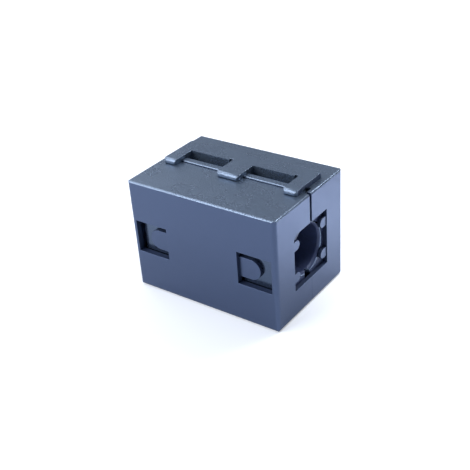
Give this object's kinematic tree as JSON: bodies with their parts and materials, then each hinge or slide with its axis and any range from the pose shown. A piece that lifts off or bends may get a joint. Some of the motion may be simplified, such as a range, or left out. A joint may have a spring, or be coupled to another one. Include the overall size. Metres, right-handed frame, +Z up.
{
  "type": "clip on ferrite bead",
  "caption": "Box-shaped snap case in two hinged half shells with a split ferrite core round a cable bore and a three-finger latch on top.",
  "frame": {"origin": "middle of the foot, under the parting line of the two half shells", "axes": "+X along the cable, +Y to the half that carries the latch plate, +Z up from the foot to the latch"},
  "size_m": [0.032, 0.0226, 0.0236],
  "materials": {
    "case_nylon": "black moulded nylon, spark-eroded top and satin sides",
    "ferrite": "sintered and tumbled ferrite, dark grey, slightly glossy"
  },
  "bodies": {
    "rear_half": {"case_rear": "case_nylon", "core_rear": "ferrite", "hinge_strap_left": "case_nylon", "hinge_strap_right": "case_nylon"},
    "front_half": {"case_front": "case_nylon", "core_front": "ferrite"},
    "latch": {"latch_fingers": "case_nylon"}
  },
  "joints": [
    {"name": "case_open", "type": "hinge", "parent": "rear_half", "child": "front_half", "pos_m": [0, 0, -0.00005], "axis": [1, 0, 0], "range_deg": [0, 180], "deforming": ["hinge_strap_left", "hinge_strap_right"]},
    {"name": "latch_flex", "type": "hinge", "parent": "rear_half", "child": "latch", "pos_m": [0, 0.00285, 0.02355], "axis": [-1, 0, 0], "range_deg": [0, 8], "stiffness_Nm_per_rad": 0.5}
  ]
}
